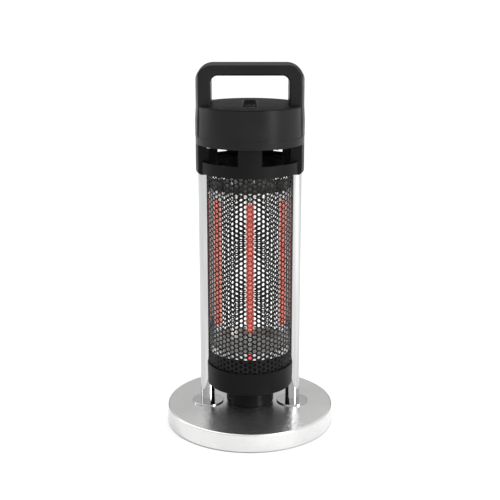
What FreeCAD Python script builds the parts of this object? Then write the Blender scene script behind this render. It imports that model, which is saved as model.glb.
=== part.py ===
"""Portable electric patio heater: a weighted round base, two chrome posts, three quartz
lamps behind a two-part perforated guard, and a head with a carrying handle and a rocker switch.

Millimetres, +Z up, front towards -Y. The origin is the centre of the footprint, on the floor.
"""

import FreeCAD, Part
import os
import re
import Sketcher
from FreeCAD import Placement, Rotation, Vector

SIZES = {
    # Base: a deep-drawn cover over a ballast disc, closed by a bottom plate on rubber feet.
    "base_dia": 280,
    "base_top": 31.5,
    "base_lift": 2,
    "base_wall": 1.2,
    "base_edge": 3,
    "foot_dia": 20,
    "foot_circle": 112,
    "stem_dia": 6,
    "plate_level": 3.2,
    "plate_gap": 0.3,
    "ballast_dia": 220,
    "ballast_height": 16,
    "standoff_dia": 16,
    "standoff_circle": 92,
    # Posts and the pieces that hold them.
    "post_dia": 24,
    "post_wall": 1.5,
    "post_half_gap": 72,
    "post_top": 474,
    "flange_dia": 53,
    "flange_height": 2.2,
    "flange_round": 0.6,
    "plug_height": 22,
    "bolt_dia": 8,
    "bolt_head": 13,
    "bolt_head_height": 5.3,
    # Pedestal between the base and the lower cup.
    "neck_dia": 80,
    "neck_wall": 3.6,
    "neck_foot_dia": 74,
    "neck_start": 34.5,
    "neck_round": 2.5,
    "boss_dia": 9.6,
    "boss_circle": 32,
    "screw_dia": 4,
    "screw_head": 8,
    "screw_head_height": 2.4,
    "screw_grip": 14,
    "inlet_level": 50,
    "inlet_pad": 26,
    "pad_depth": 10,
    "inlet_face": 41,
    "inlet_bore": 16,
    "cable_bore": 7.4,
    "gland_collar_wide": 22,
    "gland_collar_long": 4,
    "gland_inside": 8,
    "gland_thread": 6,
    "cap_wide": 20,
    "cap_nose": 12.4,
    "cap_nose_long": 8,
    "tilt_wide": 18,
    "tilt_deep": 14,
    "tilt_height": 26,
    "plunger_dia": 6,
    "plunger_long": 5,
    # Lower cup: a skirt outside the guard and a drum inside it.
    "cup_base": 68,
    "cup_floor": 3,
    "cup_ledge": 6,
    "cup_foot_dia": 143.4,
    "cup_dia": 145.2,
    "cup_top": 107,
    "cup_round": 4,
    "cup_wall": 2,
    "drum_dia": 136.4,
    "drum_wall": 2.2,
    "drum_top": 130,
    "sleeve_wall": 2,
    "post_gap": 0.2,
    # Guard: two half shells of perforated sheet.
    "guard_dia": 140.8,
    "guard_wall": 1,
    "guard_start": 75,
    "guard_end": 443,
    "guard_edge": 10.5,
    # Lamps and the plates that carry them.
    "sheet_wall": 1.2,
    "top_plate_dia": 135,
    "top_plate_level": 401,
    "top_plate_lip": 6,
    "lower_plate_lip": 11,
    "lamp_circle": 57.5,
    "lamp_turn": 67,
    "lamp_dia": 14,
    "lamp_wall": 1,
    "lamp_start": 116,
    "lamp_end": 413,
    "lamp_neck_dia": 10,
    "lamp_seal": 4,
    "lamp_hole_gap": 0.5,
    "glow_dia": 10.6,
    "glow_start": 175,
    "glow_end": 389,
    "lead_dia": 1.6,
    "holder_wide": 26,
    "holder_deep": 14,
    "holder_height": 18,
    "lens_dia": 9.6,
    "lens_shank": 7,
    "lens_shank_long": 3.4,
    "lens_face": 1,
    "lens_lap": 0.2,
    "lens_level": 136.2,
    "sleeve_dia": 5,
    "sleeve_long": 7,
    "conduit_dia": 28,
    "conduit_wall": 1.5,
    # Vent collar under the head.
    "collar_dia": 166,
    "collar_start": 433.5,
    "collar_ring": 452,
    "collar_end": 478.5,
    "collar_wall": 3,
    "collar_lip": 3.4,
    "socket_wall": 2.3,
    "socket_height": 13,
    "pillar_wide": 37,
    "rear_pillar_wide": 78,
    "pillar_deep": 7,
    "leg_wide": 60,
    "leg_inner": 64.5,
    "leg_start": 430.5,
    "leg_dia": 174.8,
    "leg_round": 5,
    "boss_post_dia": 40,
    "collar_bore": 144,
    "spigot_dia": 165.2,
    "spigot_end": 482,
    # Middle ring and heat shield.
    "band_dia": 174.4,
    "band_bore": 165.8,
    "band_end": 491,
    "shield_dia": 164,
    "shield_bore": 20,
    # Upper housing with the lower ends of the handle.
    "shell_base_dia": 173.2,
    "shell_rim_dia": 170.8,
    "shell_rim": 538,
    "shell_wall": 3,
    "seam_round": 0.8,
    "arm_base_dia": 175.6,
    "arm_flare": 515,
    "arm_dia": 173,
    "arm_inner": 61.4,
    "arm_end": 573,
    "arm_bore": 16,
    "arm_web": 560,
    "arm_round": 3.5,
    "shell_boss_circle": 78,
    "shell_boss_dia": 12.6,
    "shell_boss_height": 26,
    "head_screw_long": 30,
    "grip_screw_gap": 73.5,
    # Handle.
    "grip_top": 603.5,
    "grip_thick": 17.2,
    "grip_corner": 28,
    "grip_inner_corner": 11,
    "grip_round": 4,
    # Domed top cover.
    "dome_dia": 170.4,
    "dome_height": 4.5,
    "dome_radius": 1210,
    "dome_round": 1.2,
    "dome_wall": 2.5,
    "dome_gap": 0.3,
    # Rocker switch, on a wedge that leans it towards the front.
    "switch_back": 46,
    "switch_level": 543.9,
    "switch_tilt": 13,
    "bezel_wide": 24,
    "bezel_long": 32,
    "bezel_foot": 9,
    "bezel_rise": 1.2,
    "bezel_round": 0.8,
    "throat_wide": 21,
    "throat_long": 29,
    "throat_depth": 11,
    "rocker_wide": 17.6,
    "rocker_long": 25,
    "rocker_flat": 16,
    "rocker_side": 2,
    "rocker_drop": 5.5,
    "rocker_rise": 0.4,
    "rocker_tilt": 8,
    "rocker_round": 0.6,
    "pivot_dia": 3,
    "pivot_gap": 0.05,
    "pivot_drop": 2.4,
    "switch_depth": 26,
    "tag_wide": 13,
    "tag_wall": 0.8,
    "tag_long": 8,
    # Electrical pieces inside the head.
    "cutout_dia": 16,
    "cutout_height": 9,
    "cutout_left": 40,
    "cutout_back": 20,
    "terminal_long": 46,
    "terminal_deep": 18,
    "terminal_height": 16,
    "terminal_back": 40,
    "terminal_pitch": 16,
    "terminal_well": 5,
    "terminal_floor": 6,
}
OVERRUN = 1.0  # how far a cutting tool passes the faces that it opens
LAMPS = {"front": 0, "left": -1, "right": 1}  # lamp turn, as a multiple of lamp_turn
POSTS = {"left": -1, "right": 1}
UPRIGHT = Rotation()
ALONG_X = Rotation(Vector(0, 1, 0), 90)
ALONG_Y = Rotation(Vector(1, 0, 0), -90)

doc = FreeCAD.newDocument("PatioHeater")
sheet = doc.addObject("Spreadsheet::Sheet", "Dims")
for row, (alias, size) in enumerate(SIZES.items(), start=1):
    sheet.set(f"A{row}", alias)
    sheet.set(f"B{row}", str(size))
    sheet.setAlias(f"B{row}", alias)
doc.recompute()
nodes = []


def full(formula):
    """Turn plain size names in a formula into references to the sheet."""
    names = r"[a-z]+(?:_[a-z]+)+"
    return re.sub(names, lambda match: "Dims." + match.group(), str(formula))


def value(formula):
    return float(sheet.evalExpression(full(formula)))


def bind(item, **formulas):
    for name, formula in formulas.items():
        item.setExpression(name, full(formula))
    return item


def place(item, x=0, y=0, z=0, turn=UPRIGHT):
    item.Placement = Placement(Vector(0, 0, 0), turn)
    for axis, formula in (("x", x), ("y", y), ("z", z)):
        item.setExpression(f".Placement.Base.{axis}", full(formula))
    return item


def node(label, item):
    """Name a finished sub-part, so that it is checked and exported."""
    item.Label = label
    nodes.append(item)
    return item


def cylinder(name, dia, height, x=0, y=0, z=0, turn=UPRIGHT):
    item = doc.addObject("Part::Cylinder", name)
    bind(item, Radius=f"({dia}) / 2", Height=height)
    return place(item, x, y, z, turn)


def cone(name, low_dia, high_dia, height, x=0, y=0, z=0, turn=UPRIGHT):
    item = doc.addObject("Part::Cone", name)
    bind(item, Radius1=f"({low_dia}) / 2", Radius2=f"({high_dia}) / 2", Height=height)
    return place(item, x, y, z, turn)


def block(name, x, y, z):
    """A box between two limits along each axis."""
    item = doc.addObject("Part::Box", name)
    spans = {"Length": x, "Width": y, "Height": z}
    for size, (low, high) in spans.items():
        item.setExpression(size, full(f"({high}) - ({low})"))
    return place(item, x[0], y[0], z[0])


def centred(name, wide, deep, z, x=0, y=0):
    """A box centred on a vertical line."""
    return block(name, (f"{x} - ({wide}) / 2", f"{x} + ({wide}) / 2"),
                 (f"{y} - ({deep}) / 2", f"{y} + ({deep}) / 2"), z)


def cut(name, body, *tools):
    item = doc.addObject("Part::Cut", name)
    item.Base = body
    item.Tool = tools[0] if len(tools) == 1 else group(name + "_tools", tools)
    return item


def fuse(name, *pieces):
    item = doc.addObject("Part::MultiFuse", name)
    item.Shapes = list(pieces)
    return item


def common(name, first, second):
    item = doc.addObject("Part::MultiCommon", name)
    item.Shapes = [first, second]
    return item


def group(name, pieces):
    item = doc.addObject("Part::Compound", name)
    item.Links = list(pieces)
    return item


def ring(name, outer, inner, low, high):
    """A flat-ended ring about the centre line."""
    blank = cylinder(name + "_blank", outer, f"({high}) - ({low})", z=low)
    bore = cylinder(name + "_bore", inner, f"({high}) - ({low}) + {2 * OVERRUN}",
                    z=f"({low}) - {OVERRUN}")
    return cut(name, blank, bore)


def pair(name, dia, low, high, gap="post_half_gap"):
    """Two equal upright cylinders, left and right of the centre line."""
    return group(name, [cylinder(f"{name}_{side}", dia, f"({high}) - ({low})",
                                 x=f"{sign} * {gap}", z=low) for side, sign in POSTS.items()])


def spots(count, circle, start=0):
    """Formulas for equally spaced places on a circle, from an angle at the front."""
    turns = [start + 360 * step / count for step in range(count)]
    return [(f"{circle} * sin({turn})", f"-{circle} * cos({turn})") for turn in turns]


def array(name, places, dia, low, high):
    return group(name, [cylinder(f"{name}_{number}", dia, f"({high}) - ({low})", x, y, low)
                        for number, (x, y) in enumerate(places)])


def rounded(name, base, radius, test):
    """Fillet the edges whose curve and centre pass the test."""
    doc.recompute()
    item = doc.addObject("Part::Fillet", name)
    item.Base = base
    size = value(radius)
    item.Edges = [(number, size, size)
                  for number, edge in enumerate(base.Shape.Edges, start=1) if test(edge)]
    doc.recompute()
    return item


def outline(body, plane_name, corners):
    """A sketch with straight sides, whose corners are held by pairs of formulas."""
    sketch = body.newObject("Sketcher::SketchObject", body.Name + "_outline")
    plane = next(item for item in body.Origin.OriginFeatures if item.Role == plane_name)
    sketch.AttachmentSupport = [(plane, "")]
    sketch.MapMode = "FlatFace"
    count = len(corners)
    points = [Vector(value(across), value(up), 0) for across, up in corners]
    for number in range(count):
        side = Part.LineSegment(points[number], points[(number + 1) % count])
        sketch.addGeometry(side, False)
    for number in range(count):
        joint = Sketcher.Constraint("Coincident", number, 2, (number + 1) % count, 1)
        sketch.addConstraint(joint)
    for number, corner in enumerate(corners):
        for kind, formula in zip(("DistanceX", "DistanceY"), corner):
            size = Sketcher.Constraint(kind, -1, 1, number, 1, value(formula))
            index = sketch.addConstraint(size)
            sketch.setExpression(f"Constraints[{index}]", full(formula))
    return sketch


def revolved(name, corners, first=0, sweep=360):
    """A PartDesign body: an outline in the XZ plane, turned about the Z axis."""
    body = doc.addObject("PartDesign::Body", name)
    sketch = outline(body, "XZ_Plane", corners)
    solid = body.newObject("PartDesign::Revolution", name + "_turned")
    solid.Profile = sketch
    solid.ReferenceAxis = (sketch, ["V_Axis"])
    solid.Angle = sweep
    body.Tip = solid
    if first:
        body.Placement = Placement(Vector(0, 0, 0), Rotation(Vector(0, 0, 1), first))
    return body


def at_level(level, reach=0):
    """A test for edges that lie flat at a height, at least so far from the centre line."""
    def test(edge):
        box = edge.BoundBox
        flat = abs(box.ZMin - value(level)) < 0.01 and abs(box.ZMax - value(level)) < 0.01
        widest = max(abs(box.XMin), abs(box.XMax), abs(box.YMin), abs(box.YMax))
        return flat and widest > value(reach) - 0.01
    return test


POST_PLACES = [(f"{sign} * post_half_gap", "0") for sign in POSTS.values()]
BOSS_PLACES = spots(3, "boss_circle")
STANDOFF_PLACES = spots(4, "standoff_circle", start=45)
HEAD_SCREW_PLACES = spots(4, "shell_boss_circle", start=35)


def lamp_place(sign):
    turn = f"{sign} * lamp_turn"
    return f"lamp_circle * sin({turn})", f"-lamp_circle * cos({turn})"


LAMP_PLACES = [lamp_place(sign) for sign in LAMPS.values()]


def build_base():
    rim = "base_dia / 2"
    shell = revolved("base_shell", [
        (f"{rim} - base_wall", "base_lift"), (rim, "base_lift"), (rim, "base_top"),
        ("bolt_dia / 2", "base_top"), ("bolt_dia / 2", "base_top - base_wall"),
        (f"{rim} - base_wall", "base_top - base_wall")])
    soft = rounded("base_shell_soft", shell, "base_edge", at_level("base_top", "base_dia / 2"))
    under = "base_top - base_wall"
    holes = [array("base_bolt_holes", POST_PLACES, "bolt_dia + 0.4", "base_lift", "base_top + 1"),
             array("base_screw_holes", BOSS_PLACES, "screw_dia + 0.4", "base_lift",
                   "base_top + 1")]
    node("base_cover", cut("base_cover", soft, *holes))

    floor = f"{under} - ballast_height"
    disc = cylinder("ballast_disc", "ballast_dia", "ballast_height", z=floor)
    legs = array("ballast_legs", STANDOFF_PLACES, "standoff_dia", "plate_level + base_wall", floor)
    body = fuse("ballast_body", disc, legs)
    holes = [array("ballast_bolt_holes", POST_PLACES, "bolt_dia + 0.4", f"{floor} - 1",
                   f"{under} + 1"),
             array("ballast_screw_holes", BOSS_PLACES, "screw_dia + 0.4", f"{floor} - 1",
                   f"{under} + 1"),
             array("ballast_threads", STANDOFF_PLACES, "screw_dia", "plate_level", floor),
             cylinder("ballast_eye", "bolt_dia", "ballast_height + 2", z=f"{floor} - 1")]
    node("base_ballast", cut("base_ballast", body, *holes))

    low = "plate_level"
    disc = cylinder("bottom_disc", "base_dia - 2 * base_wall - 2 * plate_gap", "base_wall", z=low)
    holes = [array("bottom_stem_holes", spots(4, "foot_circle"), "stem_dia", "0", "base_top"),
             array("bottom_screw_holes", STANDOFF_PLACES, "screw_dia", "0", "base_top")]
    node("bottom_plate", cut("bottom_plate", disc, *holes))

    pads = array("foot_pads", spots(4, "foot_circle"), "foot_dia", "0", low)
    stems = array("foot_stems", spots(4, "foot_circle"), "stem_dia", low, f"{low} + 3")
    node("rubber_feet", fuse("rubber_feet", pads, stems))

    heads = array("plate_heads", STANDOFF_PLACES, "screw_head", f"{low} - 2", low)
    shanks = array("plate_shanks", STANDOFF_PLACES, "screw_dia", low, f"{floor} - 1")
    node("bottom_screws", fuse("bottom_screws", heads, shanks))


def build_posts():
    for side, sign in POSTS.items():
        centre = f"{sign} * post_half_gap"
        tall = "post_top - base_top"
        tube = cylinder(f"{side}_tube", "post_dia", tall, x=centre, z="base_top")
        bore = cylinder(f"{side}_tube_bore", "post_dia - 2 * post_wall", f"{tall} + 2",
                        x=centre, z="base_top - 1")
        node(f"{side}_post", cut(f"{side}_post", tube, bore))
        disc = cylinder(f"{side}_disc", "flange_dia", "flange_height", x=centre, z="base_top")
        edge = rounded(f"{side}_disc_edge", disc, "flange_round",
                       at_level("base_top + flange_height"))
        eye = cylinder(f"{side}_disc_eye", "post_dia", "flange_height + 2", x=centre,
                       z="base_top - 1")
        node(f"{side}_post_flange", cut(f"{side}_post_flange", edge, eye))
    plug_end = "base_top + plug_height"
    plugs = pair("plug_blanks", "post_dia - 2 * post_wall", "base_top", plug_end)
    bores = pair("plug_bores", "bolt_dia", "base_top - 1", f"{plug_end} + 1")
    node("post_plugs", cut("post_plugs", plugs, bores))
    under = "base_top - base_wall - ballast_height"
    heads = pair("bolt_heads", "bolt_head", f"{under} - bolt_head_height", under)
    shanks = pair("bolt_shanks", "bolt_dia", under, f"{plug_end} - 2")
    node("post_bolts", fuse("post_bolts", heads, shanks))


def build_pedestal():
    outer = "neck_dia / 2"
    inner = f"{outer} - neck_wall"
    tube = revolved("neck_tube", [
        ("neck_foot_dia / 2 - neck_wall", "base_top"), ("neck_foot_dia / 2", "base_top"),
        ("neck_foot_dia / 2", "neck_start"), (outer, "neck_start"), (outer, "cup_base"),
        (inner, "cup_base"), (inner, "neck_start + neck_wall"),
        ("neck_foot_dia / 2 - neck_wall", "neck_start + neck_wall")])
    soft = rounded("neck_soft", tube, "neck_round", at_level("neck_start", outer))
    pad = block("inlet_pad_block", ("-inlet_pad / 2", "inlet_pad / 2"),
                ("inlet_face - pad_depth", "inlet_face"),
                ("inlet_level - inlet_pad / 2", "inlet_level + inlet_pad / 2"))
    bosses = array("neck_bosses", BOSS_PLACES, "boss_dia", "base_top", "cup_base")
    body = fuse("neck_body", soft, pad, bosses)
    holes = [array("neck_threads", BOSS_PLACES, "screw_dia", "base_top - 1", "cup_base + 1"),
             along_y("inlet_hole", "inlet_bore", "inlet_face - pad_depth - 5", "inlet_face + 5")]
    node("pedestal", cut("pedestal", body, *holes))

    under = "base_top - base_wall - ballast_height"
    heads = array("neck_screw_heads", BOSS_PLACES, "screw_head",
                  f"{under} - screw_head_height", under)
    shanks = array("neck_screw_shanks", BOSS_PLACES, "screw_dia", under, "base_top + screw_grip")
    node("pedestal_screws", fuse("pedestal_screws", heads, shanks))

    case = centred("tilt_case", "tilt_wide", "tilt_deep", ("cup_base - tilt_height", "cup_base"))
    plunger = cylinder("tilt_plunger", "plunger_dia", "plunger_long",
                       z="cup_base - tilt_height - plunger_long")
    node("tilt_switch", fuse("tilt_switch", case, plunger))


def along_y(name, dia, low, high):
    """A cylinder on the cable's centre line, between two distances behind the middle."""
    return cylinder(name, dia, f"({high}) - ({low})", y=low, z="inlet_level", turn=ALONG_Y)


def build_gland():
    """A screwed gland through the inlet pad, and the cap that squeezes its seal."""
    face = "inlet_face + gland_collar_long"
    thread = f"{face} + gland_thread"
    nose = f"{thread} + cap_nose_long"
    start = "inlet_face - gland_inside"
    collar = along_y("gland_collar", "gland_collar_wide", "inlet_face", face)
    shank = along_y("gland_shank", "inlet_bore", start, thread)
    bore = along_y("gland_bore", "cable_bore", f"{start} - 1", f"{thread} + 1")
    node("cable_gland", cut("cable_gland", fuse("gland_body", collar, shank), bore))
    dome = cone("cap_dome", "cap_wide", "cap_nose", "cap_nose_long", y=thread, z="inlet_level",
                turn=ALONG_Y)
    skirt = along_y("cap_skirt", "cap_wide", face, thread)
    seat = along_y("cap_seat", "inlet_bore", face, thread)
    eye = along_y("cap_eye", "cable_bore", "inlet_face", f"{nose} + 1")
    node("gland_cap", cut("gland_cap", fuse("cap_body", skirt, dome), seat, eye))


def build_cup():
    skirt = "cup_dia / 2"
    drum = "drum_dia / 2"
    bowl = revolved("cup_bowl", [
        ("cable_bore", "cup_base"), ("cup_foot_dia / 2", "cup_base"), (skirt, "cup_top"),
        (f"{skirt} - cup_wall", "cup_top"), (f"{skirt} - cup_wall", "cup_base + cup_ledge"),
        (drum, "cup_base + cup_ledge"), (drum, "drum_top"), (f"{drum} - drum_wall", "drum_top"),
        (f"{drum} - drum_wall", "cup_base + cup_floor"),
        ("cable_bore", "cup_base + cup_floor")])
    soft = rounded("cup_soft", bowl, "cup_round", at_level("cup_base", "cup_foot_dia / 2"))
    tubes = pair("sleeve_tubes", "post_dia + 2 * post_gap + 2 * sleeve_wall",
                 "cup_base + cup_floor", "drum_top")
    sleeves = common("post_sleeves", tubes, cylinder("sleeve_limit", "drum_dia", "drum_top",
                                                     z="cup_base"))
    body = fuse("cup_body", soft, sleeves)
    holes = [pair("cup_post_holes", "post_dia + 2 * post_gap", "cup_base - 1", "drum_top + 1"),
             array("cup_screw_holes", BOSS_PLACES, "screw_dia + 0.4", "cup_base - 1",
                   "cup_base + cup_floor + 1")]
    node("lower_cup", cut("lower_cup", body, *holes))
    floor = "cup_base + cup_floor"
    heads = array("cup_screw_heads", BOSS_PLACES, "screw_head", floor,
                  f"{floor} + screw_head_height")
    shanks = array("cup_screw_shanks", BOSS_PLACES, "screw_dia", "cup_base - screw_grip", floor)
    node("cup_screws", fuse("cup_screws", heads, shanks))


def build_guard():
    """Each half runs from one post round to the other. Its holes are left to the visual model."""
    outer = "guard_dia / 2"
    for label, first in (("front_guard", 180), ("rear_guard", 0)):
        sweep = 180 - 2 * value("guard_edge")
        shell = revolved(label + "_shell", [
            (f"{outer} - guard_wall", "guard_start"), (outer, "guard_start"),
            (outer, "guard_end"), (f"{outer} - guard_wall", "guard_end")],
            first + value("guard_edge"), sweep)
        node(label, shell)


def lamp_holes(name, low, high):
    return array(name, LAMP_PLACES, "lamp_dia + 2 * lamp_hole_gap", low, high)


def build_lamps():
    low = "drum_top"
    disc = cylinder("lower_disc", "drum_dia", "sheet_wall", z=low)
    lip = ring("lower_lip", "drum_dia", "drum_dia - 2 * sheet_wall", low,
               f"{low} + lower_plate_lip")
    rim = "drum_dia / 2"
    node("lower_reflector", cut("lower_reflector", fuse("lower_plate_body", disc, lip),
         pair("lower_disc_notches", "post_dia + 2 * post_gap", f"{low} - 1",
              f"{low} + lower_plate_lip + 1"),
         lamp_holes("lower_lamp_holes", f"{low} - 1", f"{low} + 3"),
         cylinder("lens_hole", "lens_shank", "lens_dia", y=f"-{rim} - 1", z="lens_level",
                  turn=ALONG_Y)))
    shank = cylinder("lens_stem", "lens_shank", "lens_shank_long", y=f"-{rim}", z="lens_level",
                     turn=ALONG_Y)
    face = cylinder("lens_face", "lens_dia", "lens_face + lens_lap", y=f"-{rim} - lens_face",
                    z="lens_level", turn=ALONG_Y)
    seat = cylinder("lens_seat", "drum_dia", "2 * lens_dia", z="lens_level - lens_dia")
    node("pilot_lens", fuse("pilot_lens", shank, cut("lens_front", face, seat)))
    high = "top_plate_level"
    disc = cylinder("upper_disc", "top_plate_dia", "sheet_wall", z=high)
    lip = ring("upper_lip", "top_plate_dia", "top_plate_dia - 2 * sheet_wall", high,
               f"{high} + top_plate_lip")
    node("upper_lamp_plate", cut("upper_lamp_plate", fuse("upper_plate_body", disc, lip),
         pair("upper_notches", "post_dia + 2 * post_gap", f"{high} - 1",
              f"{high} + top_plate_lip + 1"),
         lamp_holes("upper_lamp_holes", f"{high} - 1", f"{high} + 3")))
    wide = "conduit_dia"
    base = "top_plate_level + sheet_wall"
    node("centre_conduit", ring("centre_conduit", wide, f"{wide} - 2 * conduit_wall", base,
                                "spigot_end"))
    for side, sign in LAMPS.items():
        build_lamp(side, sign)


def build_lamp(side, sign):
    """One quartz tube, necked at both ends, its element, and the ceramic holders of its necks."""
    place_at = lamp_place(sign)

    def rod(name, dia, low, high):
        return cylinder(f"{side}_{name}", dia, f"({high}) - ({low})", *place_at, low)

    low, high = "drum_top", "top_plate_level + sheet_wall"
    lead_low, lead_high = "lamp_start + lamp_seal", "lamp_end - lamp_seal"
    glass = fuse(f"{side}_glass", rod("tube", "lamp_dia", low, high),
                 rod("necks", "lamp_neck_dia", "lamp_start", "lamp_end"))
    bore = rod("tube_bore", "lamp_dia - 2 * lamp_wall", f"{low} + lamp_seal",
               f"{high} - lamp_seal")
    way = rod("lead_way", "lead_dia", lead_low, lead_high)
    node(f"{side}_quartz_tube", cut(f"{side}_quartz_tube", glass, bore, way))
    coil = rod("coil", "glow_dia", "glow_start", "glow_end")
    lead = rod("lead", "lead_dia", lead_low, lead_high)
    node(f"{side}_heating_element", fuse(f"{side}_heating_element", coil, lead))
    spin = Rotation(Vector(0, 0, 1), sign * value("lamp_turn"))
    corner = spin.multVec(Vector(-value("holder_wide") / 2, -value("holder_deep") / 2, 0))
    x, y = place_at
    for end, bottom in (("lower", f"{low} - holder_height"), ("upper", high)):
        case = doc.addObject("Part::Box", f"{side}_{end}_case")
        bind(case, Length="holder_wide", Width="holder_deep", Height="holder_height")
        place(case, f"{x} + {corner.x}", f"{y} + {corner.y}", bottom, spin)
        seat = rod(f"{end}_seat", "lamp_neck_dia", "lamp_start", "lamp_end")
        node(f"{side}_{end}_holder", cut(f"{side}_{end}_holder", case, seat))


def pillar_limit(name, wide, y):
    return block(name, (f"-{wide} / 2", f"{wide} / 2"), y, ("collar_ring - 2", "collar_end"))


def build_collar():
    """Lower ring, front and rear pillars, and two legs that hold the upper ends of the posts."""
    low, top = "collar_start", "collar_end"
    wall = ring("collar_wall_ring", "collar_dia", "collar_dia - 2 * collar_wall", low,
                "collar_ring")
    lip = ring("collar_lip_ring", "collar_dia", "guard_dia + 0.6", low, f"{low} + collar_lip")
    socket = ring("collar_socket", "guard_dia + 0.6 + 2 * socket_wall", "guard_dia + 0.6", low,
                  f"{low} + socket_height")
    spigot = ring("collar_spigot", "spigot_dia", "collar_bore", top, "spigot_end")
    pillars = ring("pillar_ring", "collar_dia", "collar_dia - 2 * pillar_deep",
                   "collar_ring - 2", top)
    column = common("pillars", pillars, fuse("pillar_limits",
        pillar_limit("front_pillar", "pillar_wide", ("-base_dia / 2", "0")),
        pillar_limit("rear_pillar", "rear_pillar_wide", ("0", "base_dia / 2"))))
    blank = cylinder("leg_blank", "leg_dia", f"{top} - leg_start", z="leg_start")
    soft = rounded("leg_soft", blank, "leg_round", at_level("leg_start"))
    slab = centred("leg_slab", "base_dia", "leg_wide", ("leg_start", top))
    core = centred("leg_core", "2 * leg_inner", "base_dia", ("leg_start - 1", f"{top} + 1"))
    legs = cut("legs", common("leg_sides", soft, slab), core)
    bosses = common("post_bosses", pair("post_boss_pair", "boss_post_dia", low, top),
                    cylinder("post_boss_limit", "leg_dia - 2", f"{top} - {low}", z=low))
    body = fuse("collar_body", wall, lip, socket, spigot, column, legs, bosses)
    screws = array("collar_screw_holes", HEAD_SCREW_PLACES, "screw_dia + 0.4", f"{top} - 1",
                   "spigot_end + 1")
    tubes = pair("collar_tube_holes", "post_dia", "leg_start - 1", "post_top")
    throat = cylinder("guard_throat", "guard_dia + 0.6", "guard_end - leg_start + 1",
                      z="leg_start - 1")
    node("vent_collar", cut("vent_collar", body, screws, tubes, throat))

    heads = array("head_screw_heads", HEAD_SCREW_PLACES, "screw_head",
                  f"{top} - screw_head_height", top)
    shanks = array("head_screw_shanks", HEAD_SCREW_PLACES, "screw_dia", top,
                   f"{top} + head_screw_long")
    node("head_screws", fuse("head_screws", heads, shanks))


def build_middle():
    low, high = "collar_end", "band_end"
    band = rounded("band_soft", ring("band_ring", "band_dia", "band_bore", low, high),
                   "seam_round", at_level(high, "band_dia / 2"))
    pads = common("band_pads", ring("band_pad_ring", "leg_dia", "band_bore", low, high),
                  centred("band_pad_slab", "base_dia", "leg_wide", (low, high)))
    node("middle_ring", fuse("middle_ring", band, pads))
    plate = ring("shield_plate", "shield_dia", "shield_bore", "spigot_end",
                 "spigot_end + sheet_wall")
    node("heat_shield", cut("heat_shield", plate,
         array("shield_screw_holes", HEAD_SCREW_PLACES, "screw_dia + 0.4", "collar_end",
               "band_end")))


def arm_slab(name, low, high):
    """The handle's two arms before shaping: everything between the arm faces, out to the sides."""
    slab = centred(name + "_slab", "base_dia", "leg_wide", (low, high))
    core = centred(name + "_core", "2 * arm_inner", "base_dia", (f"{low} - 1", f"{high} + 1"))
    return cut(name, slab, core)


def build_housing():
    low, rim = "band_end", "shell_rim"
    height = f"{rim} - {low}"
    blank = cone("shell_blank", "shell_base_dia", "shell_rim_dia", height, z=low)
    outside = rounded("shell_outside", blank, "seam_round", at_level(rim))
    flare = cylinder("arm_flare_low", "arm_base_dia", f"arm_flare - {low}", z=low)
    taper = cone("arm_taper", "arm_base_dia", "arm_dia", "shell_rim - arm_flare", z="arm_flare")
    shaft = cylinder("arm_shaft", "arm_dia", "arm_end - shell_rim", z="shell_rim")
    arms = common("arms", fuse("arm_rounds", flare, taper, shaft),
                  arm_slab("arm_sides", low, "arm_end"))
    arms_soft = rounded("arms_soft", arms, "arm_round", arm_edge)
    hollow = cone("shell_hollow", "shell_base_dia - 2 * shell_wall",
                  "shell_rim_dia - 2 * shell_wall", height, z=low)
    boss_end = f"{low} + shell_boss_height"
    keep = fuse("shell_kept", arms_soft,
                array("shell_boss_feet", HEAD_SCREW_PLACES, "boss_dia", "spigot_end + sheet_wall",
                      boss_end),
                array("shell_bosses", HEAD_SCREW_PLACES, "shell_boss_dia", low, boss_end))
    wall = cut("shell_walls", outside, hollow)
    body = fuse("shell_body", wall, keep)
    gap = "grip_screw_gap"
    bores = pair("arm_bores", "arm_bore", f"{low} - 1", "arm_web", gap)
    ways = pair("arm_screw_ways", "screw_dia + 0.4", "arm_web - 1", "arm_end + 1", gap)
    threads = array("shell_threads", HEAD_SCREW_PLACES, "screw_dia", "spigot_end",
                    "collar_end + head_screw_long + 4")
    node("upper_housing", cut("upper_housing", body, bores, ways, threads))
    heads = pair("grip_screw_heads", "screw_head", "arm_web - screw_head_height", "arm_web", gap)
    shanks = pair("grip_screw_shanks", "screw_dia", "arm_web", "arm_end + screw_grip", gap)
    node("grip_screws", fuse("grip_screws", heads, shanks))


def arm_edge(edge):
    """The upright edges of the arms, and the ones that follow their flare."""
    box = edge.BoundBox
    tall = box.ZLength > 10
    outward = max(abs(box.XMin), abs(box.XMax)) > value("arm_inner") - 0.01
    return tall and outward


def build_handle():
    top = "grip_top"
    blank = centred("grip_blank", "arm_dia", "leg_wide", ("arm_end", top))
    arch = rounded("grip_arch", blank, "grip_corner", lambda edge: edge.BoundBox.YLength > 10
                   and abs(edge.BoundBox.ZMin - value(top)) < 0.01)
    hole = centred("grip_hole_blank", "2 * arm_inner", "leg_wide + 4",
                   ("arm_end - 20", f"{top} - grip_thick"))
    gap = rounded("grip_hole", hole, "grip_inner_corner", lambda edge: edge.BoundBox.YLength > 10
                  and abs(edge.BoundBox.ZMin - value(f"{top} - grip_thick")) < 0.01)
    bar = cut("grip_bar", arch, gap)
    limit = cylinder("grip_limit", "arm_dia", f"{top} - arm_end", z="arm_end")
    trimmed = common("grip_trimmed", bar, limit)
    doc.recompute()
    soft = rounded("grip_soft", trimmed, "grip_round", grip_edge)
    threads = pair("grip_threads", "screw_dia", "arm_end - 1", "arm_end + screw_grip + 1",
                   "grip_screw_gap")
    node("handle_grip", cut("handle_grip", soft, threads))


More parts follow.
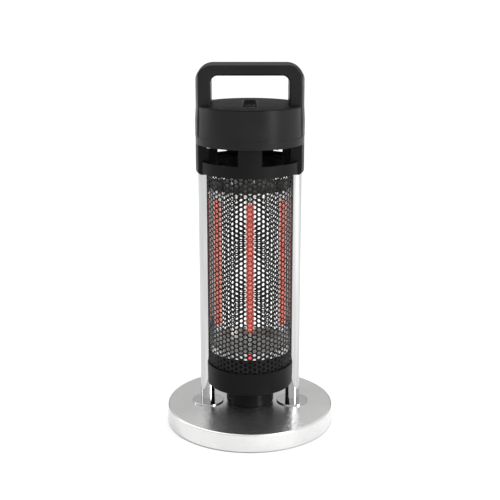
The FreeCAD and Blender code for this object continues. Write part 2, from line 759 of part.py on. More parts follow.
def grip_edge(edge):
    """The edges of the arch's front and rear faces, except those of its two flat feet."""
    box = edge.BoundBox
    on_foot = abs(box.ZMax - value("arm_end")) < 0.01
    return box.YLength < 0.01 and not on_foot


def switch_point(y, z, extra_turn=0):
    """Where a point of the switch lies, given on its own sloping plane."""
    slope = Rotation(Vector(1, 0, 0), value("switch_tilt"))
    pivot = slope.multVec(Vector(0, 0, -value("pivot_drop")))
    turned = Rotation(Vector(1, 0, 0), value("switch_tilt") + extra_turn)
    arm = turned.multVec(Vector(0, y, z + value("pivot_drop")))
    return pivot + arm, turned


def on_slope(item, wide, y, z, extra_turn=0):
    """Stand a piece on the switch's plane, from its left edge, at a depth below or above it."""
    move, turn = switch_point(value(y), value(z), extra_turn)
    return place(item, f"-({wide}) / 2", f"-switch_back + {move.y}", f"switch_level + {move.z}",
                 turn)


def sloped_block(name, wide, long, low, high):
    """A box on the switch's plane, centred on it, between two depths."""
    item = doc.addObject("Part::Box", name)
    bind(item, Length=wide, Width=long, Height=f"({high}) - ({low})")
    return on_slope(item, wide, f"-({long}) / 2", low)


def pivot_rod(name, dia, long):
    item = doc.addObject("Part::Cylinder", name)
    bind(item, Radius=f"({dia}) / 2", Height=long)
    move, _turn = switch_point(0, -value("pivot_drop"))
    return place(item, f"-({long}) / 2", f"-switch_back + {move.y}", f"switch_level + {move.z}",
                 ALONG_X)


def dome_ball(name, less="0"):
    """The ball whose crown is the top cover, or its inside at a depth."""
    ball = doc.addObject("Part::Sphere", name)
    bind(ball, Radius=f"dome_radius - {less}")
    return place(ball, z="shell_rim + dome_height - dome_radius")


def build_dome():
    caps = []
    for name, less in (("dome_outside", "0"), ("dome_inside", "dome_wall")):
        disc = cylinder(name + "_disc", f"dome_dia - 2 * {less}", "dome_height", z="shell_rim")
        caps.append(common(name, disc, dome_ball(name + "_ball", less)))
    outside, inside = caps
    soft = rounded("dome_soft", outside, "dome_round", lambda edge: edge.BoundBox.ZMin
                   > value("shell_rim") + 1 and edge.Length > value("dome_dia"))
    cap = cut("dome_cap", soft, inside)
    low, high = f"shell_rim - {OVERRUN}", "shell_rim + 2 * dome_height"
    slab = centred("dome_notch_slab", "base_dia", "leg_wide + 2 * dome_gap", (low, high))
    core = centred("dome_notch_core", "2 * arm_inner - 2 * dome_gap", "base_dia",
                   (f"{low} - {OVERRUN}", f"{high} + {OVERRUN}"))
    opening = sloped_block("dome_opening", "throat_wide", "throat_long", "-switch_depth",
                           "dome_height")
    node("top_cover", cut("top_cover", cap, cut("dome_notches", slab, core), opening))


def build_switch():
    frame = sloped_block("bezel_frame", "bezel_wide", "bezel_long", "-bezel_foot", "bezel_rise")
    wedge = cut("bezel_wedge", rounded("bezel_soft", frame, "bezel_round",
                                       lambda edge: edge.Length > 0.5), dome_ball("bezel_ball"))
    throat = sloped_block("bezel_throat", "throat_wide - 0.2", "throat_long - 0.2",
                          "-throat_depth", "0")
    well = sloped_block("bezel_well", "rocker_wide + 0.8", "rocker_long + 2", "-throat_depth - 1",
                        "bezel_rise + 1")
    hole = pivot_rod("bezel_pivot_hole", "pivot_dia + 2 * pivot_gap", "throat_wide - 1")
    node("switch_bezel", cut("switch_bezel", fuse("bezel_blank", wedge, throat), well, hole))

    case = sloped_block("switch_case_box", "throat_wide - 0.6", "throat_long - 0.6",
                        "-switch_depth", "-throat_depth")
    tag = sloped_block("switch_tags", "tag_wide", "tag_wall", "-switch_depth - tag_long",
                       "-switch_depth")
    node("switch_case", fuse("switch_case", case, tag))

    half = "rocker_long / 2"
    lift = "rocker_drop"
    body = doc.addObject("PartDesign::Body", "rocker_paddle")
    crest = f"{lift} + rocker_rise + {half} * tan(rocker_tilt)"
    sketch = outline(body, "YZ_Plane", [
        (f"{half} - rocker_flat / 2", "0"), (f"{half} + rocker_flat / 2", "0"),
        ("rocker_long", f"{lift} - rocker_side"), ("rocker_long", crest),
        (half, f"{lift} + rocker_rise"), ("0", crest), ("0", f"{lift} - rocker_side")])
    solid = body.newObject("PartDesign::Pad", "rocker_solid")
    solid.Profile = sketch
    solid.setExpression("Length", full("rocker_wide"))
    body.Tip = solid
    on_slope(body, "rocker_wide", f"-{half}", f"-{lift}", value("rocker_tilt"))
    soft = rounded("rocker_soft", body, "rocker_round", rocker_edge)
    node("switch_rocker", fuse("switch_rocker", soft,
                               pivot_rod("rocker_pin", "pivot_dia", "throat_wide - 1.4")))


def rocker_edge(edge):
    """The edges of the rocker's upper faces and its upright corners, seen from its own pivot."""
    pivot, turned = switch_point(0, -value("pivot_drop"), value("rocker_tilt"))
    middle = Vector(0, pivot.y - value("switch_back"), pivot.z + value("switch_level"))
    return turned.inverted().multVec(edge.CenterOfMass - middle).z > value("rocker_side")


def build_head_parts():
    floor = "spigot_end + sheet_wall"
    node("thermal_cutout", cylinder("thermal_cutout", "cutout_dia", "cutout_height",
                                    x="-cutout_left", y="cutout_back", z=floor))
    case = centred("terminal_case", "terminal_long", "terminal_deep",
                   (floor, f"{floor} + terminal_height"), y="terminal_back")
    wells = [(f"{step} * terminal_pitch", "terminal_back") for step in (-1, 0, 1)]
    screws = array("terminal_wells", wells, "terminal_well", f"{floor} + terminal_floor",
                   f"{floor} + terminal_height + 1")
    node("terminal_block", cut("terminal_block", case, screws))


def build_lead_sleeves():
    """Glass-fibre sleeves on the lamp leads, at the bottom of each tube's bore."""
    low = "drum_top + lamp_seal"
    high = f"{low} + sleeve_long"
    sleeves = array("sleeve_blanks", LAMP_PLACES, "sleeve_dia", low, high)
    bores = array("sleeve_bores", LAMP_PLACES, "lead_dia", f"{low} - 1", f"{high} + 1")
    node("lamp_lead_sleeves", cut("lamp_lead_sleeves", sleeves, bores))


def check_all():
    """Stop before writing anything if an object failed or a sub-part is not sound."""
    failed = [item.Name for item in doc.Objects
              if "Invalid" in item.State or "Error" in item.State]
    unsound = [item.Label for item in nodes
               if item.Shape.isNull() or not item.Shape.isValid() or item.Shape.Volume <= 0]
    if failed or unsound:
        raise RuntimeError(f"failed objects: {failed}; unsound sub-parts: {unsound}")


build_base()
build_posts()
build_pedestal()
build_gland()
build_cup()
build_guard()
build_lamps()
build_lead_sleeves()
build_collar()
build_middle()
build_housing()
build_handle()
build_dome()
build_switch()
build_head_parts()
doc.recompute()
check_all()

os.makedirs("parts", exist_ok=True)
for item in nodes:
    item.Shape.exportStep(f"parts/{item.Label}.step")
print(len(nodes), "sub-parts written")
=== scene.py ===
"""The looks of a patio heater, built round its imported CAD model.

Metres, +Z up, front towards -Y. The CAD nodes keep their shapes and get better materials.
The guard gets its punched holes here, and the lamps their glowing coils.
"""

import math

import bmesh
import bpy
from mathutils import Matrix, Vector


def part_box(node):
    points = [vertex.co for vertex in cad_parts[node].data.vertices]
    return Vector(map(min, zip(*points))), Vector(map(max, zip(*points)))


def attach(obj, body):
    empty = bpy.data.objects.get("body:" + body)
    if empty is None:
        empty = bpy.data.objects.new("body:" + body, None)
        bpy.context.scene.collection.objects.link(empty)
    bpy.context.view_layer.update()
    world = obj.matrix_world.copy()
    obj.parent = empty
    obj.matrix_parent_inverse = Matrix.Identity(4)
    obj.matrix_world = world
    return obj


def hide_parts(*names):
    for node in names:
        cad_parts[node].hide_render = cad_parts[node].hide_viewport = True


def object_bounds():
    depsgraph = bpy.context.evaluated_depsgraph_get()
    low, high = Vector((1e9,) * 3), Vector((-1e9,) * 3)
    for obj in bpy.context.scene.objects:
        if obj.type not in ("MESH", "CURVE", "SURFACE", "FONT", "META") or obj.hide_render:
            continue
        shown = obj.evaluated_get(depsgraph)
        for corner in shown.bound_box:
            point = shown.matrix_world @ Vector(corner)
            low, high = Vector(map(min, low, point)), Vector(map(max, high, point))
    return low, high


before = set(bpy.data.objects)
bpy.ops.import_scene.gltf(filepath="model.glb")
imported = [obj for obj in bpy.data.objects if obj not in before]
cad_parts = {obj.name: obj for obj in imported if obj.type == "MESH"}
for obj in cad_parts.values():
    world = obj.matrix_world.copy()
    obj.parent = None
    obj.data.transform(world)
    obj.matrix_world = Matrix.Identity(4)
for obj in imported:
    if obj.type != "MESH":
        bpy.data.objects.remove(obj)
cad_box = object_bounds()

MM = 0.001
BODY = "heater"
LAMPS = ("front", "left", "right")

# Guard: punched sheet, with the edges of each half folded over.
HOLE = 6.1 * MM
HOLE_PITCH = 8 * MM
COLUMN_PITCH = 7.5 * MM
SHEET = 1 * MM
PLAIN_EDGE = 4.5 * MM
REAR_PLAIN_TOP = 20 * MM
HEM_WIDE = 3.6 * MM
HEM_THICK = 1.7 * MM
HEM_ARC_STEPS = 6
HEM_REACH = 0.8  # share of the folded edge that the outermost holes keep clear of

# Lamps: a flat ribbon wound round a former, with a lead at each end.
COIL_PITCH = 6.4 * MM
RIBBON_WIDE = 4.4 * MM
RIBBON_THICK = 0.35 * MM
RIBBON_STEPS = 24  # round one turn
FORMER_SHARE = 0.62  # of the ribbon's radius
FORMER_SIDES = 16
FORMER_ROWS = 120
FORMER_WAVE = 0.04
LEAD_RADIUS = 0.8 * MM
LEAD_SIDES = 12
LEAD_WAVE = 0.08
COIL_CAP = 2 * MM  # how far the lead reaches into the coil

# Guard's painted glow: how far the front lamp's light, painted as emission on the guard sheet,
# reaches to its sides, as shares of the coil's radius.
PAINTED_GLOW_FULL = 1.2
PAINTED_GLOW_END = 1.5
PAINTED_GLOW_DEPTH = 10  # only the sheet at least so many coil radii ahead of the middle gets the painted glow

# Sky: pale all round, but dim low down behind the heater, so that its top stays dark.
SKY_LEVEL = 0.97
SKY_BEHIND = 0.15
SKY_FADE = {"Y": (0.35, 0.85), "Z": (0.48, 0.24)}  # where the dim part begins and is complete

# Floor and lights, in metres, watts and degrees.
FLOOR_RADIUS = 60
SUN_PLACE = (-0.8, 0.6, 3.0)
SUN_STRENGTH = 0.8
SUN_SPREAD = 50
STRIP_HEIGHT = 1.6
STRIPS = {"right_strip": ((1.7, -1.5, 1.2), 42.0, 0.3), "left_strip": ((-1.9, 0.5, 1.1), 6.0, 0.4)}

# Camera: a long lens, a little above the object.
CAMERA_BACK = 1.6385
CAMERA_UP = 0.738
CAMERA_DOWN = 0.262
CAMERA_LENS = 73.89
CAMERA_REACH = 200
SENSOR = 36.0


# ---------------------------------------------------------------- materials

class Finish:
    """A Principled material, with short ways to add the nodes that vary it over the surface."""

    def __init__(self, name, **sockets):
        self.material = bpy.data.materials.new(name)
        self.material.use_nodes = True
        self.tree = self.material.node_tree
        self.shader = self.tree.nodes["Principled BSDF"]
        self.place = self.add("TexCoord").outputs["Object"]
        for socket, setting in sockets.items():
            self.shader.inputs[socket.replace("_", " ")].default_value = setting

    def add(self, kind, inputs=None, **settings):
        item = self.tree.nodes.new("ShaderNode" + kind)
        for name, setting in settings.items():
            setattr(item, name, setting)
        for name, source in (inputs or {}).items():
            if isinstance(source, bpy.types.NodeSocket):
                self.tree.links.new(source, item.inputs[name])
            else:
                item.inputs[name].default_value = source
        return item

    def feed(self, socket, source):
        self.tree.links.new(source, self.shader.inputs[socket])

    def stretched(self, x=1.0, y=1.0, z=1.0):
        return self.add("Mapping", {"Vector": self.place, "Scale": (x, y, z)}).outputs["Vector"]

    def round_axis(self, along_radius=1.0, along_turn=1.0, along_z=1.0):
        """Coordinates that follow circles about the vertical centre line."""
        parts = self.add("SeparateXYZ", {"Vector": self.place}).outputs
        flat = self.add("CombineXYZ", {"X": parts["X"], "Y": parts["Y"]}).outputs["Vector"]
        radius = self.add("VectorMath", {0: flat}, operation="LENGTH").outputs["Value"]
        turn = self.add("Math", {0: parts["Y"], 1: parts["X"]}, operation="ARCTAN2")
        polar = self.add("CombineXYZ", {"X": radius, "Y": turn.outputs["Value"],
                                        "Z": parts["Z"]}).outputs["Vector"]
        sizes = (along_radius, along_turn, along_z)
        return self.add("Mapping", {"Vector": polar, "Scale": sizes}).outputs["Vector"]

    def noise(self, scale, detail=3.0, place=None):
        inputs = {"Vector": place or self.place, "Scale": scale, "Detail": detail}
        return self.add("TexNoise", inputs).outputs["Fac"]

    def spread(self, source, low, high, start=0.35, stop=0.65):
        """Stretch the middle of a pattern onto a range of numbers."""
        item = self.add("MapRange", {"Value": source, "From Min": start, "From Max": stop,
                                     "To Min": low, "To Max": high})
        return item.outputs["Result"]

    def colours(self, source, low, high, start=0.35, stop=0.65):
        ramp = self.add("ValToRGB", {"Fac": source})
        first, last = ramp.color_ramp.elements
        first.position, last.position = start, stop
        first.color, last.color = (*low, 1), (*high, 1)
        return ramp.outputs["Color"]

    def relief(self, source, depth, under=None):
        inputs = {"Height": source, "Distance": depth, "Strength": 1.0}
        if under:
            inputs["Normal"] = under
        return self.add("Bump", inputs).outputs["Normal"]


def moulded(name, low, high, gloss, dull, grain=1400, depth=0.02, shine=0.17):
    """Moulded plastic: a fine spark-eroded grain, and slow changes of gloss from handling."""
    finish = Finish(name, Specular_IOR_Level=shine)
    broad = finish.noise(11, 4)
    finish.feed("Base Color", finish.colours(broad, low, high))
    finish.feed("Roughness", finish.spread(finish.noise(38, 5), gloss, dull))
    flow = finish.relief(finish.noise(24, 2), 0.12 * MM)
    finish.feed("Normal", finish.relief(finish.noise(grain, 2), depth * MM, flow))
    return finish.material


def black_plastic():
    return moulded("black_plastic", (0.006, 0.006, 0.0062), (0.011, 0.011, 0.0113), 0.28, 0.37,
                   shine=0.13)


def painted_shade_plastic():
    """The pieces near the lamps and the top cover: a darker, less shiny copy of the black plastic,
    which paints shade on them.
    """
    return moulded("painted_shade_plastic", (0.0035, 0.0035, 0.0036), (0.0065, 0.0065, 0.0067),
                   0.36, 0.44, shine=0.08)


def grip_plastic():
    return moulded("grip_plastic", (0.0055, 0.0055, 0.0057), (0.0095, 0.0095, 0.0098), 0.27, 0.35,
                   1100, 0.03, 0.16)


def switch_plastic():
    return moulded("switch_plastic", (0.006, 0.006, 0.006), (0.009, 0.009, 0.0095), 0.16, 0.24,
                   900, 0.006, 0.4)


def gland_nylon():
    return moulded("gland_nylon", (0.011, 0.011, 0.011), (0.017, 0.017, 0.017), 0.42, 0.55)


def switch_case():
    return moulded("switch_case", (0.03, 0.03, 0.031), (0.045, 0.045, 0.047), 0.5, 0.6)


def foot_rubber():
    return moulded("foot_rubber", (0.012, 0.012, 0.012), (0.022, 0.022, 0.021), 0.75, 0.9, 700,
                   0.08)


def brushed_stainless():
    """Spun stainless steel: fine lines that follow the turning, with soft stains of handling."""
    finish = Finish("brushed_stainless", Metallic=1.0, Anisotropic=0.45,
                    Anisotropic_Rotation=0.25)
    lines = finish.noise(1.0, 2, finish.round_axis(6000, 3.0, 6000))
    cloud = finish.noise(10, 5)
    tint = finish.colours(cloud, (0.62, 0.62, 0.615), (0.74, 0.74, 0.735), 0.3, 0.7)
    finish.feed("Base Color", tint)
    finish.feed("Roughness", finish.spread(lines, 0.24, 0.33))
    finish.feed("Normal", finish.relief(lines, 0.002 * MM))
    turning = finish.add("Tangent", direction_type="RADIAL", axis="Z").outputs["Tangent"]
    finish.feed("Tangent", turning)
    return finish.material


def chrome_posts():
    """Polished chrome, with the faint waviness of a drawn tube."""
    finish = Finish("chrome_posts", Metallic=1.0)
    drawn = finish.noise(1.0, 3, finish.stretched(260, 260, 6))
    finish.feed("Base Color", finish.colours(drawn, (0.46, 0.463, 0.468), (0.56, 0.562, 0.565)))
    finish.feed("Roughness", finish.spread(finish.noise(60, 5), 0.03, 0.075))
    finish.feed("Normal", finish.relief(drawn, 0.004 * MM))
    return finish.material


def guard_steel():
    """Heat-proof black enamel on punched steel, with a painted glow (emission standing in for the
    front lamp's light) where that lamp lies close behind it.
    """
    finish = Finish("guard_steel", Specular_IOR_Level=0.25, Emission_Strength=1.0)
    _centre, radius, low, high = wide_part("front_heating_element")
    parts = finish.add("SeparateXYZ", {"Vector": finish.place}).outputs
    aside = finish.add("Math", {0: parts["X"]}, operation="ABSOLUTE").outputs["Value"]
    across = finish.spread(aside, 1, 0, PAINTED_GLOW_FULL * radius, PAINTED_GLOW_END * radius)
    bottom = finish.spread(parts["Z"], 0, 1, low, low + 2 * radius)
    top = finish.spread(parts["Z"], 1, 0, high, high + radius)
    ahead = finish.spread(parts["Y"], 1, 0, -(PAINTED_GLOW_DEPTH + 1) * radius, -PAINTED_GLOW_DEPTH * radius)
    # Mask of the painted glow: a strip of the sheet just in front of the front lamp.
    glow = across
    for share in (bottom, top, ahead):
        glow = finish.add("Math", {0: glow, 1: share}, operation="MULTIPLY").outputs["Value"]
    # Painted glow: an orange-red emission on the black sheet, standing in for the lamp's light
    # seen through the holes.
    finish.feed("Emission Color", finish.colours(glow, (0, 0, 0), (0.3, 0.036, 0.022), 0, 1))
    finish.feed("Base Color", finish.colours(finish.noise(60, 4), (0.008, 0.008, 0.008),
                                             (0.02, 0.02, 0.019)))
    finish.feed("Roughness", finish.spread(finish.noise(300, 3), 0.34, 0.5))
    finish.feed("Normal", finish.relief(finish.noise(2200, 2), 0.02 * MM))
    return finish.material


def reflector_steel():
    """Bright rolled sheet, a little dulled by heat."""
    finish = Finish("reflector_steel", Metallic=1.0)
    rolled = finish.noise(1.0, 3, finish.stretched(1500, 40, 1500))
    finish.feed("Base Color", finish.colours(finish.noise(26, 4), (0.5, 0.49, 0.48),
                                             (0.64, 0.63, 0.62)))
    finish.feed("Roughness", finish.spread(rolled, 0.2, 0.34))
    finish.feed("Normal", finish.relief(rolled, 0.004 * MM))
    return finish.material


def zinc_steel():
    """Zinc plate, with its spangle."""
    finish = Finish("zinc_steel", Metallic=1.0)
    cells = finish.add("TexVoronoi", {"Vector": finish.place, "Scale": 260.0})
    finish.feed("Base Color", finish.colours(cells.outputs["Distance"], (0.42, 0.43, 0.45),
                                             (0.6, 0.61, 0.63), 0.1, 0.8))
    finish.feed("Roughness", finish.spread(finish.noise(120, 4), 0.32, 0.5))
    finish.feed("Normal", finish.relief(cells.outputs["Distance"], 0.01 * MM))
    return finish.material


def ballast_iron():
    """Sand-cast iron under paint."""
    finish = Finish("ballast_iron", Metallic=0.3)
    finish.feed("Base Color", finish.colours(finish.noise(45, 5), (0.05, 0.05, 0.052),
                                             (0.12, 0.12, 0.12)))
    finish.feed("Roughness", finish.spread(finish.noise(90, 5), 0.6, 0.85))
    finish.feed("Normal", finish.relief(finish.noise(420, 5), 0.25 * MM))
    return finish.material


def thermostat_metal():
    finish = Finish("thermostat_metal", Metallic=1.0)
    finish.feed("Base Color", finish.colours(finish.noise(70, 4), (0.6, 0.6, 0.6),
                                             (0.76, 0.76, 0.76)))
    finish.feed("Roughness", finish.spread(finish.noise(150, 3), 0.25, 0.42))
    finish.feed("Normal", finish.relief(finish.noise(800, 2), 0.02 * MM))
    return finish.material


def ceramic():
    """Dark glazed ceramic, speckled in the firing."""
    finish = Finish("ceramic", Coat_Weight=0.35, Coat_Roughness=0.15)
    finish.feed("Base Color", finish.colours(finish.noise(900, 4), (0.018, 0.017, 0.016),
                                             (0.06, 0.057, 0.053)))
    finish.feed("Roughness", finish.spread(finish.noise(120, 4), 0.4, 0.6))
    finish.feed("Normal", finish.relief(finish.noise(500, 4), 0.05 * MM))
    return finish.material


def lead_sleeve():
    """Woven glass fibre."""
    finish = Finish("lead_sleeve", Sheen_Weight=0.3)
    weave = finish.add("TexWave", {"Vector": finish.place, "Scale": 420.0, "Distortion": 1.5},
                       bands_direction="DIAGONAL").outputs["Fac"]
    finish.feed("Base Color", finish.colours(weave, (0.45, 0.43, 0.38), (0.72, 0.7, 0.64), 0, 1))
    finish.feed("Roughness", finish.spread(weave, 0.7, 0.9, 0, 1))
    finish.feed("Normal", finish.relief(weave, 0.1 * MM))
    return finish.material


def quartz():
    """Clear quartz, drawn as a tube, so slightly streaky along its length."""
    finish = Finish("quartz", IOR=1.458, Transmission_Weight=1.0)
    streaks = finish.noise(1.0, 3, finish.stretched(700, 700, 12))
    finish.feed("Base Color", finish.colours(streaks, (0.95, 0.95, 0.96), (1.0, 1.0, 1.0)))
    finish.feed("Roughness", finish.spread(streaks, 0.0, 0.03))
    return finish.material


def glowing(name, low, high, strength):
    """A hot surface, a little uneven in its heat along its length."""
    finish = Finish(name, Roughness=0.6, Emission_Strength=strength)
    glow = finish.noise(1.0, 4, finish.stretched(500, 500, 160))
    hue = finish.colours(glow, low, high, 0.3, 0.7)
    finish.feed("Emission Color", hue)
    finish.feed("Base Color", finish.colours(glow, (0.1, 0.03, 0.02), (0.2, 0.06, 0.04)))
    finish.feed("Normal", finish.relief(glow, 0.05 * MM))
    return finish.material


def red_lens():
    finish = Finish("red_lens", IOR=1.49, Transmission_Weight=0.35, Emission_Strength=0.3,
                    Coat_Weight=0.5)
    cast = finish.noise(420, 3)
    hue = finish.colours(cast, (0.6, 0.012, 0.03), (0.95, 0.05, 0.08))
    finish.feed("Base Color", hue)
    finish.feed("Emission Color", hue)
    finish.feed("Roughness", finish.spread(cast, 0.12, 0.25))
    return finish.material


FINISHES = {
    "brushed_stainless": (brushed_stainless, ["base_cover"]),
    "ballast_iron": (ballast_iron, ["base_ballast"]),
    "zinc_steel": (zinc_steel, ["bottom_plate", "bottom_screws", "post_bolts", "pedestal_screws",
                                "cup_screws", "head_screws", "grip_screws", "post_plugs"]),
    "chrome_posts": (chrome_posts, ["left_post", "right_post", "left_post_flange",
                                    "right_post_flange"]),
    "foot_rubber": (foot_rubber, ["rubber_feet"]),
    "black_plastic": (black_plastic, ["middle_ring", "upper_housing"]),
    # painted shade: these pieces get the darker copy of the black plastic
    "painted_shade_plastic": (painted_shade_plastic, ["pedestal", "lower_cup", "vent_collar",
                                              "top_cover"]),
    "grip_plastic": (grip_plastic, ["handle_grip"]),
    "gland_nylon": (gland_nylon, ["cable_gland", "gland_cap"]),
    "reflector_steel": (reflector_steel, ["lower_reflector", "upper_lamp_plate", "heat_shield",
                                          "centre_conduit"]),
    "ceramic": (ceramic, [f"{side}_{end}_holder" for side in LAMPS for end in ("lower", "upper")]),
    "quartz": (quartz, [f"{side}_quartz_tube" for side in LAMPS]),
    "lead_sleeve": (lead_sleeve, ["lamp_lead_sleeves"]),
    "red_lens": (red_lens, ["pilot_lens"]),
    "switch_plastic": (switch_plastic, ["switch_bezel", "switch_rocker"]),
    "switch_case": (switch_case, ["switch_case", "terminal_block", "tilt_switch"]),
    "thermostat_metal": (thermostat_metal, ["thermal_cutout"]),
}


def finish_nodes():
    for maker, names in FINISHES.values():
        material = maker()
        for name in names:
            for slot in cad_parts[name].material_slots:
                slot.material = material


# ---------------------------------------------------------------- new pieces

def piece(name, bm, materials, replaced, sharp=35):
    """Turn a built mesh into a piece that rides on the heater and stands for CAD nodes."""
    mesh = bpy.data.meshes.new(name)
    bm.to_mesh(mesh)
    bm.free()
    mesh.polygons.foreach_set("use_smooth", [True] * len(mesh.polygons))
    mesh.set_sharp_from_angle(angle=math.radians(sharp))
    for material in materials:
        mesh.materials.append(material)
    item = bpy.data.objects.new(name, mesh)
    bpy.context.scene.collection.objects.link(item)
    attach(item, BODY)
    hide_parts(*replaced)
    return item


class Sheet:
    """A flat sheet drawn with u along it and v up it, whose shared points are made only once."""

    def __init__(self):
        self.bm = bmesh.new()
        self.points = {}

    def point(self, u, v):
        key = (round(u / MM, 4), round(v / MM, 4))
        if key not in self.points:
            self.points[key] = self.bm.verts.new((u, v, 0))
        return self.points[key]

    def strip(self, near, far):
        """Quads between two lines of points."""
        for step in range(len(near) - 1):
            corners = [near[step], near[step + 1], far[step + 1], far[step]]
            self.bm.faces.new([self.point(u, v) for u, v in corners])

    def ring(self, outline, centre, radius):
        """Quads between a closed outline and a round hole in it."""
        hole = []
        for u, v in outline:
            turn = math.atan2(v - centre[1], u - centre[0])
            hole.append(self.bm.verts.new((centre[0] + radius * math.cos(turn),
                                           centre[1] + radius * math.sin(turn), 0)))
        edge = [self.point(u, v) for u, v in outline]
        for step in range(len(outline)):
            after = (step + 1) % len(outline)
            self.bm.faces.new([edge[step], edge[after], hole[after], hole[step]])


def halved(line):
    """The same line with the middle of each stretch added."""
    middles = [((a[0] + b[0]) / 2, (a[1] + b[1]) / 2) for a, b in zip(line, line[1:])]
    mixed = [spot for both in zip(line, middles) for spot in both]
    return mixed + [line[-1]]


def punched_sheet(half_wide, low, high, plain_top):
    """A sheet with round holes in upright columns, each column half a pitch from the next."""
    sheet = Sheet()
    reach = (COLUMN_PITCH ** 2 + (HOLE_PITCH / 2) ** 2) / (2 * COLUMN_PITCH)
    inner = COLUMN_PITCH - reach
    half = HOLE_PITCH / 2
    side_count = int((half_wide - HEM_WIDE * HEM_REACH - HOLE / 2) / COLUMN_PITCH)
    below, above = [], []
    for column in range(-side_count, side_count + 1):
        u = column * COLUMN_PITCH
        first = high - half * (1 + column % 2)
        rows = [first - row * HOLE_PITCH for row in range(int((high - low) / HOLE_PITCH) + 1)]
        rows = [v for v in rows if low + PLAIN_EDGE < v - HOLE / 2
                and v + HOLE / 2 < high - plain_top]
        for v in rows:
            corners = [(u + reach, v), (u + inner, v + half), (u - inner, v + half),
                       (u - reach, v), (u - inner, v - half), (u + inner, v - half)]
            sheet.ring(halved(corners + corners[:1])[:-1], (u, v), HOLE / 2)
        above += [(u - inner, rows[0] + half), (u + inner, rows[0] + half)]
        below += [(u - inner, rows[-1] - half), (u + inner, rows[-1] - half)]
        if abs(column) == side_count:
            sign = 1 if column > 0 else -1
            side = []
            for v in rows[::-1]:
                side += [(u + sign * inner, v - half), (u + sign * reach, v)]
            side = halved(side + [(u + sign * inner, rows[0] + half)])
            edge = [(sign * half_wide, v) for _u, v in side]
            sheet.strip(*((edge, side) if sign > 0 else (side, edge)))
    ends = [(-half_wide, above[0][1])], [(half_wide, above[-1][1])]
    above = ends[0] + halved(above) + ends[1]
    below = [(-half_wide, below[0][1])] + halved(below) + [(half_wide, below[-1][1])]
    sheet.strip(above, [(u, high) for u, _v in above])
    sheet.strip([(u, low) for u, _v in below], below)
    return sheet.bm


def hem(bm, start, stop, low, high):
    """A folded edge: a rounded strip between two places along the sheet."""
    half = HEM_THICK / 2
    section = []
    for centre, first in ((stop - half, -90), (start + half, 90)):
        for step in range(HEM_ARC_STEPS + 1):
            turn = math.radians(first + 180 / HEM_ARC_STEPS * step)
            section.append((centre + half * math.cos(turn), half * math.sin(turn)))
    rows = []
    for level in (low, high):
        rows.append([bm.verts.new((u, level, depth)) for u, depth in section])
    count = len(section)
    for step in range(count):
        after = (step + 1) % count
        bm.faces.new([rows[0][step], rows[0][after], rows[1][after], rows[1][step]])
    bm.faces.new(rows[0][::-1])
    bm.faces.new(rows[1])


def build_guard(material):
    for label, turn, plain_top in (("front", 0.0, PLAIN_EDGE), ("rear", math.pi, REAR_PLAIN_TOP)):
        node = f"{label}_guard"
        low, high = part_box(node)
        radius = max(-low.y, high.y)
        open_end = min(abs(low.y), abs(high.y))
        half_wide = radius * math.acos(open_end / radius)
        bm = punched_sheet(half_wide, low.z, high.z, plain_top)
        bmesh.ops.solidify(bm, geom=bm.faces[:], thickness=SHEET)
        depths = [vert.co.z for vert in bm.verts]
        top = max(depths)
        for vert in bm.verts:
            vert.co.z -= top
        for sign in (-1, 1):
            start, stop = sorted((sign * (half_wide - HEM_WIDE), sign * half_wide))
            before = len(bm.verts)
            hem(bm, start, stop, low.z, high.z)
            bm.verts.ensure_lookup_table()
            for vert in bm.verts[before:]:
                vert.co.z -= SHEET / 2
        for vert in bm.verts:
            along, level, depth = vert.co
            angle = along / radius + turn
            out = radius + depth
            vert.co = (out * math.sin(angle), -out * math.cos(angle), level)
        bmesh.ops.recalc_face_normals(bm, faces=bm.faces)
        piece(f"{label}_guard_mesh", bm, [material], [node])


def wide_part(node):
    """Centre, radius and ends of the thickest part of an upright turned node."""
    low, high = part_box(node)
    centre = (low + high) / 2
    radius = (high.x - low.x) / 2
    levels = [vert.co.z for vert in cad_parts[node].data.vertices
              if math.hypot(vert.co.x - centre.x, vert.co.y - centre.y) > 0.9 * radius]
    return centre, radius, min(levels), max(levels)


def tube(bm, centre, radius, low, high, sides, rows, index, wave):
    """An upright rod with closed ends, whose surface swells and shrinks a little."""
    rings = []
    for row in range(rows + 1):
        level = low + (high - low) * row / rows
        size = radius * (1 + wave * math.sin(level / COIL_PITCH * math.tau))
        rings.append([bm.verts.new((centre.x + size * math.cos(math.tau * side / sides),
                                    centre.y + size * math.sin(math.tau * side / sides), level))
                      for side in range(sides)])
    for lower, upper in zip(rings, rings[1:]):
        for side in range(sides):
            after = (side + 1) % sides
            face = bm.faces.new([lower[side], lower[after], upper[after], upper[side]])
            face.material_index = index
    for ends in (rings[0][::-1], rings[-1]):
        bm.faces.new(ends).material_index = index


def ribbon(bm, centre, radius, low, high, index):
    """A flat strip wound round the lamp's axis, as a closed solid."""
    count = int((high - low - RIBBON_WIDE) / COIL_PITCH * RIBBON_STEPS)
    rings = []
    for step in range(count + 1):
        angle = math.tau * step / RIBBON_STEPS
        level = low + RIBBON_WIDE / 2 + COIL_PITCH * step / RIBBON_STEPS
        section = []
        for out, up in ((0, -1), (0, 1), (-RIBBON_THICK, 1), (-RIBBON_THICK, -1)):
            size = radius + out
            section.append(bm.verts.new((centre.x + size * math.cos(angle),
                                         centre.y + size * math.sin(angle),
                                         level + up * RIBBON_WIDE / 2)))
        rings.append(section)
    for before, after in zip(rings, rings[1:]):
        for side in range(4):
            follow = (side + 1) % 4
            face = bm.faces.new([before[side], after[side], after[follow], before[follow]])
            face.material_index = index
    for end in (rings[0], rings[-1][::-1]):
        bm.faces.new(end).material_index = index


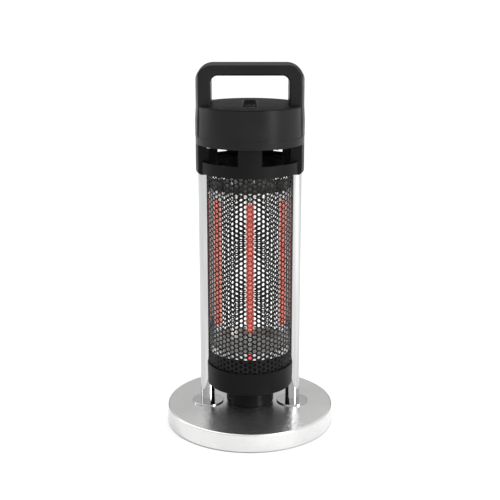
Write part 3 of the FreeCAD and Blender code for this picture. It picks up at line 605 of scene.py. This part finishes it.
def build_elements():
    hot = glowing("heating_element", (0.5, 0.07, 0.04), (0.95, 0.26, 0.19), 1.0)
    core = glowing("element_former", (0.16, 0.012, 0.006), (0.42, 0.045, 0.025), 1.0)
    wire = reflector_steel()
    wire.name = "element_lead"
    for side in LAMPS:
        node = f"{side}_heating_element"
        low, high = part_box(node)
        centre, radius, start, stop = wide_part(node)
        bm = bmesh.new()
        ribbon(bm, centre, radius, start, stop, 0)
        inner_low, inner_high = start + COIL_CAP, stop - COIL_CAP
        tube(bm, centre, radius * FORMER_SHARE, inner_low, inner_high, FORMER_SIDES, FORMER_ROWS,
             1, FORMER_WAVE)
        tube(bm, centre, LEAD_RADIUS, low.z, inner_low, LEAD_SIDES, 24, 2, LEAD_WAVE)
        tube(bm, centre, LEAD_RADIUS, inner_high, high.z, LEAD_SIDES, 12, 2, LEAD_WAVE)
        bmesh.ops.recalc_face_normals(bm, faces=bm.faces)
        piece(f"{side}_coil", bm, [hot, core, wire], [node])


# ---------------------------------------------------------------- studio

def build_floor():
    finish = Finish("floor", Roughness=0.9)
    finish.feed("Base Color", finish.colours(finish.noise(3, 4), (0.89, 0.89, 0.89),
                                             (0.91, 0.91, 0.91)))
    bm = bmesh.new()
    bmesh.ops.create_circle(bm, cap_ends=True, radius=FLOOR_RADIUS, segments=64)
    mesh = bpy.data.meshes.new("floor")
    bm.to_mesh(mesh)
    bm.free()
    mesh.materials.append(finish.material)
    floor = bpy.data.objects.new("floor", mesh)
    floor.location.z = cad_box[0].z
    bpy.context.scene.collection.objects.link(floor)


def aimed(item, place, target):
    item.location = place
    item.rotation_euler = (Vector(target) - Vector(place)).to_track_quat("-Z", "Y").to_euler()


def lamp(name, kind, place, target, energy, **settings):
    data = bpy.data.lights.new(name, kind)
    data.energy = energy
    for key, setting in settings.items():
        setattr(data, key, setting)
    item = bpy.data.objects.new(name, data)
    bpy.context.scene.collection.objects.link(item)
    aimed(item, place, target)
    return item


def build_light():
    world = bpy.data.worlds.new("studio")
    world.use_nodes = True
    nodes, links = world.node_tree.nodes, world.node_tree.links
    sky = nodes["Background"]
    sky.inputs["Strength"].default_value = 1.0
    where = nodes.new("ShaderNodeTexCoord").outputs["Generated"]
    parts = nodes.new("ShaderNodeSeparateXYZ")
    links.new(where, parts.inputs["Vector"])
    shares = []
    for axis, (start, stop) in SKY_FADE.items():
        share = nodes.new("ShaderNodeMapRange")
        links.new(parts.outputs[axis], share.inputs["Value"])
        share.inputs["From Min"].default_value = start
        share.inputs["From Max"].default_value = stop
        shares.append(share.outputs["Result"])
    both = nodes.new("ShaderNodeMath")
    both.operation = "MULTIPLY"
    for number, share in enumerate(shares):
        links.new(share, both.inputs[number])
    shade = nodes.new("ShaderNodeValToRGB")
    links.new(both.outputs["Value"], shade.inputs["Fac"])
    for element, level in zip(shade.color_ramp.elements, (SKY_LEVEL, SKY_BEHIND)):
        element.color = (level, level, level, 1)
    links.new(shade.outputs["Color"], sky.inputs["Color"])
    bpy.context.scene.world = world
    middle = (cad_box[0] + cad_box[1]) / 2
    lamp("overhead", "SUN", SUN_PLACE, middle, SUN_STRENGTH, angle=math.radians(SUN_SPREAD))
    for name, (place, energy, wide) in STRIPS.items():
        lamp(name, "AREA", place, middle, energy, shape="RECTANGLE", size=wide,
             size_y=STRIP_HEIGHT)


def build_camera():
    data = bpy.data.cameras.new("camera")
    data.sensor_width = SENSOR
    data.lens = CAMERA_LENS
    data.clip_end = CAMERA_REACH
    camera = bpy.data.objects.new("camera", data)
    camera.location = (0, -CAMERA_BACK, CAMERA_UP)
    camera.rotation_euler = (math.pi / 2 - CAMERA_DOWN, 0, 0)
    bpy.context.scene.collection.objects.link(camera)
    bpy.context.scene.camera = camera


bpy.context.scene.view_settings.view_transform = "Standard"
finish_nodes()
build_guard(guard_steel())
build_elements()
build_floor()
build_light()
build_camera()
